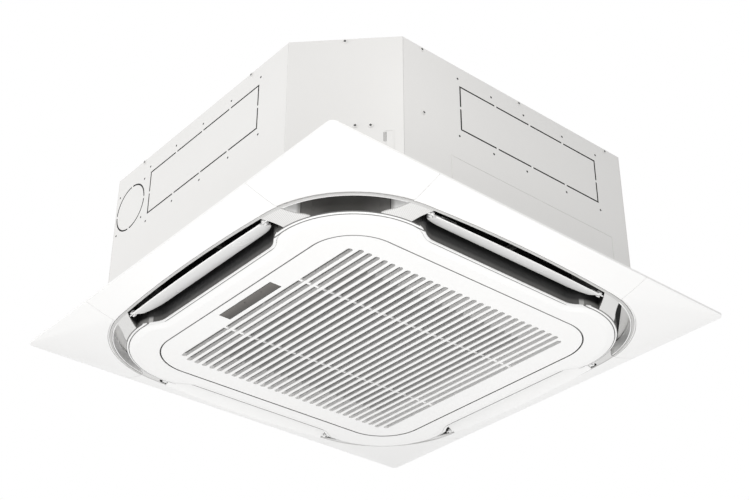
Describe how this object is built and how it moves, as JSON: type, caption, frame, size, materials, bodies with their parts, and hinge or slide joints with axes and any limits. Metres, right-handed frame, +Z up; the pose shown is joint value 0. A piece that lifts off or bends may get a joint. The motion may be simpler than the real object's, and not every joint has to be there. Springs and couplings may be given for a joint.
{
  "type": "ceiling cassette air conditioner",
  "caption": "Ceiling cassette air conditioner with a square panel, hinged slotted intake grille, swinging outlet flaps, ring coil, radial fan and drain pump in a sheet-metal body.",
  "frame": {"origin": "middle of the grille's lowest face", "axes": "+Z up into the ceiling, +X from the grille's hinge to its catches, +Y to the drain side"},
  "size_m": [0.95, 0.95, 0.349],
  "materials": {
    "bell_mouth": "black moulding",
    "cable_grommets": "black rubber",
    "casing": "pale coated sheet",
    "casing_screws": "dark screws",
    "catch_housings": "white moulding",
    "catch_plunger_front": "grey moulding",
    "catch_plunger_rear": "grey moulding",
    "centre_panel": "satin white moulding",
    "coil_end_plates": "galvanised sheet",
    "coil_fins": "plate fins",
    "coil_partition": "galvanised sheet",
    "coil_tubes": "copper tube",
    "control_board": "printed board",
    "control_box": "galvanised sheet",
    "control_box_cover": "galvanised sheet",
    "corner_cover_front_left": "satin white moulding",
    "corner_cover_front_right": "satin white moulding",
    "corner_cover_rear_left": "satin white moulding",
    "corner_cover_rear_right": "satin white moulding",
    "corner_vanes": "satin white moulding",
    "display_board": "printed board",
    "display_window": "smoked signal window",
    "drain_outlet": "pale moulding",
    "drain_pan": "expanded polystyrene",
    "drain_plug": "black rubber",
    "drain_pump": "dark moulding",
    "duct_frame": "dark grey moulding",
    "fan_nut": "plated nut",
    "filter_frame": "grey moulding",
    "filter_mesh": "woven filter mesh",
    "flap_front": "satin white moulding",
    "flap_left": "satin white moulding",
    "flap_motor_front": "stepper body",
    "flap_motor_left": "stepper body",
    "flap_motor_rear": "stepper body",
    "flap_motor_right": "stepper body",
    "flap_rear": "satin white moulding",
    "flap_right": "satin white moulding",
    "float_ring": "foamed float",
    "float_stem": "white moulding",
    "gas_union": "brass",
    "grille": "satin white moulding",
    "hanger_bracket_front_left": "galvanised sheet",
    "hanger_bracket_front_right": "galvanised sheet",
    "hanger_bracket_rear_left": "galvanised sheet",
    "hanger_bracket_rear_right": "galvanised sheet",
    "insulation_liner": "expanded polystyrene",
    "liquid_union": "brass",
    "motor_housing": "moulded motor body",
    "motor_mounts": "black rubber",
    "motor_nuts": "plated nuts",
    "motor_shaft": "ground steel",
    "outlet_foam": "expanded polystyrene",
    "outlet_ring": "light grey moulding with fine lines",
    "panel_frame": "satin white moulding",
    "panel_screws": "plated screws",
    "pipe_plate": "galvanised sheet",
    "pump_hose": "clear grey hose",
    "top_plate": "galvanised sheet",
    "turbo_fan": "grey moulding"
  },
  "bodies": {
    "housing": {"bell_mouth": "bell_mouth", "cable_grommets": "cable_grommets", "casing": "casing", "casing_screws": "casing_screws", "catch_housings": "catch_housings", "centre_panel": "centre_panel", "coil_end_plates": "coil_end_plates", "coil_fins": "coil_fins", "coil_partition": "coil_partition", "coil_tubes": "coil_tubes", "control_board": "control_board", "control_box": "control_box", "control_box_cover": "control_box_cover", "corner_cover_front_left": "corner_cover_front_left", "corner_cover_front_right": "corner_cover_front_right", "corner_cover_rear_left": "corner_cover_rear_left", "corner_cover_rear_right": "corner_cover_rear_right", "corner_vanes": "corner_vanes", "display_board": "display_board", "drain_outlet": "drain_outlet", "drain_pan": "drain_pan", "drain_plug": "drain_plug", "drain_pump": "drain_pump", "duct_frame": "duct_frame", "flap_motor_front": "flap_motor_front", "flap_motor_left": "flap_motor_left", "flap_motor_rear": "flap_motor_rear", "flap_motor_right": "flap_motor_right", "float_stem": "float_stem", "gas_union": "gas_union", "hanger_bracket_front_left": "hanger_bracket_front_left", "hanger_bracket_front_right": "hanger_bracket_front_right", "hanger_bracket_rear_left": "hanger_bracket_rear_left", "hanger_bracket_rear_right": "hanger_bracket_rear_right", "insulation_liner": "insulation_liner", "liquid_union": "liquid_union", "motor_housing": "motor_housing", "motor_mounts": "motor_mounts", "motor_nuts": "motor_nuts", "outlet_foam": "outlet_foam", "outlet_ring": "outlet_ring", "panel_frame": "panel_frame", "panel_screws": "panel_screws", "pipe_plate": "pipe_plate", "pump_hose": "pump_hose", "top_plate": "top_plate"},
    "grille": {"grille": "grille", "filter_frame": "filter_frame", "filter_mesh": "filter_mesh", "display_window": "display_window"},
    "catch_front": {"catch_plunger_front": "catch_plunger_front"},
    "catch_rear": {"catch_plunger_rear": "catch_plunger_rear"},
    "fan": {"turbo_fan": "turbo_fan", "motor_shaft": "motor_shaft", "fan_nut": "fan_nut"},
    "float": {"float_ring": "float_ring"},
    "flap_right_body": {"flap_right": "flap_right"},
    "flap_rear_body": {"flap_rear": "flap_rear"},
    "flap_left_body": {"flap_left": "flap_left"},
    "flap_front_body": {"flap_front": "flap_front"}
  },
  "joints": [
    {"name": "fan_spin", "type": "hinge", "parent": "housing", "child": "fan", "pos_m": [0, 0, 0.256], "axis": [0, 0, 1], "continuous": true},
    {"name": "flap_right_hinge", "type": "hinge", "parent": "housing", "child": "flap_right_body", "pos_m": [0.40043, 0, 0.0195], "axis": [0, 1, 0], "range_deg": [-39, 21]},
    {"name": "flap_rear_hinge", "type": "hinge", "parent": "housing", "child": "flap_rear_body", "pos_m": [0, 0.40043, 0.0195], "axis": [-1, 0, 0], "range_deg": [-39, 21]},
    {"name": "flap_left_hinge", "type": "hinge", "parent": "housing", "child": "flap_left_body", "pos_m": [-0.40043, 0, 0.0195], "axis": [0, -1, 0], "range_deg": [-39, 21]},
    {"name": "flap_front_hinge", "type": "hinge", "parent": "housing", "child": "flap_front_body", "pos_m": [0, -0.40043, 0.0195], "axis": [1, 0, 0], "range_deg": [-39, 21]},
    {"name": "grille_hinge", "type": "hinge", "parent": "housing", "child": "grille", "pos_m": [-0.3275, 0, 0.006], "axis": [0, 1, 0], "range_deg": [0, 85]},
    {"name": "catch_front_slide", "type": "slide", "parent": "housing", "child": "catch_front", "axis": [0, 0, 1], "range_m": [0, 0.004], "stiffness_N_per_m": 500},
    {"name": "catch_rear_slide", "type": "slide", "parent": "housing", "child": "catch_rear", "axis": [0, 0, 1], "range_m": [0, 0.004], "stiffness_N_per_m": 500},
    {"name": "float_slide", "type": "slide", "parent": "housing", "child": "float", "axis": [0, 0, 1], "range_m": [0, 0.012]}
  ]
}
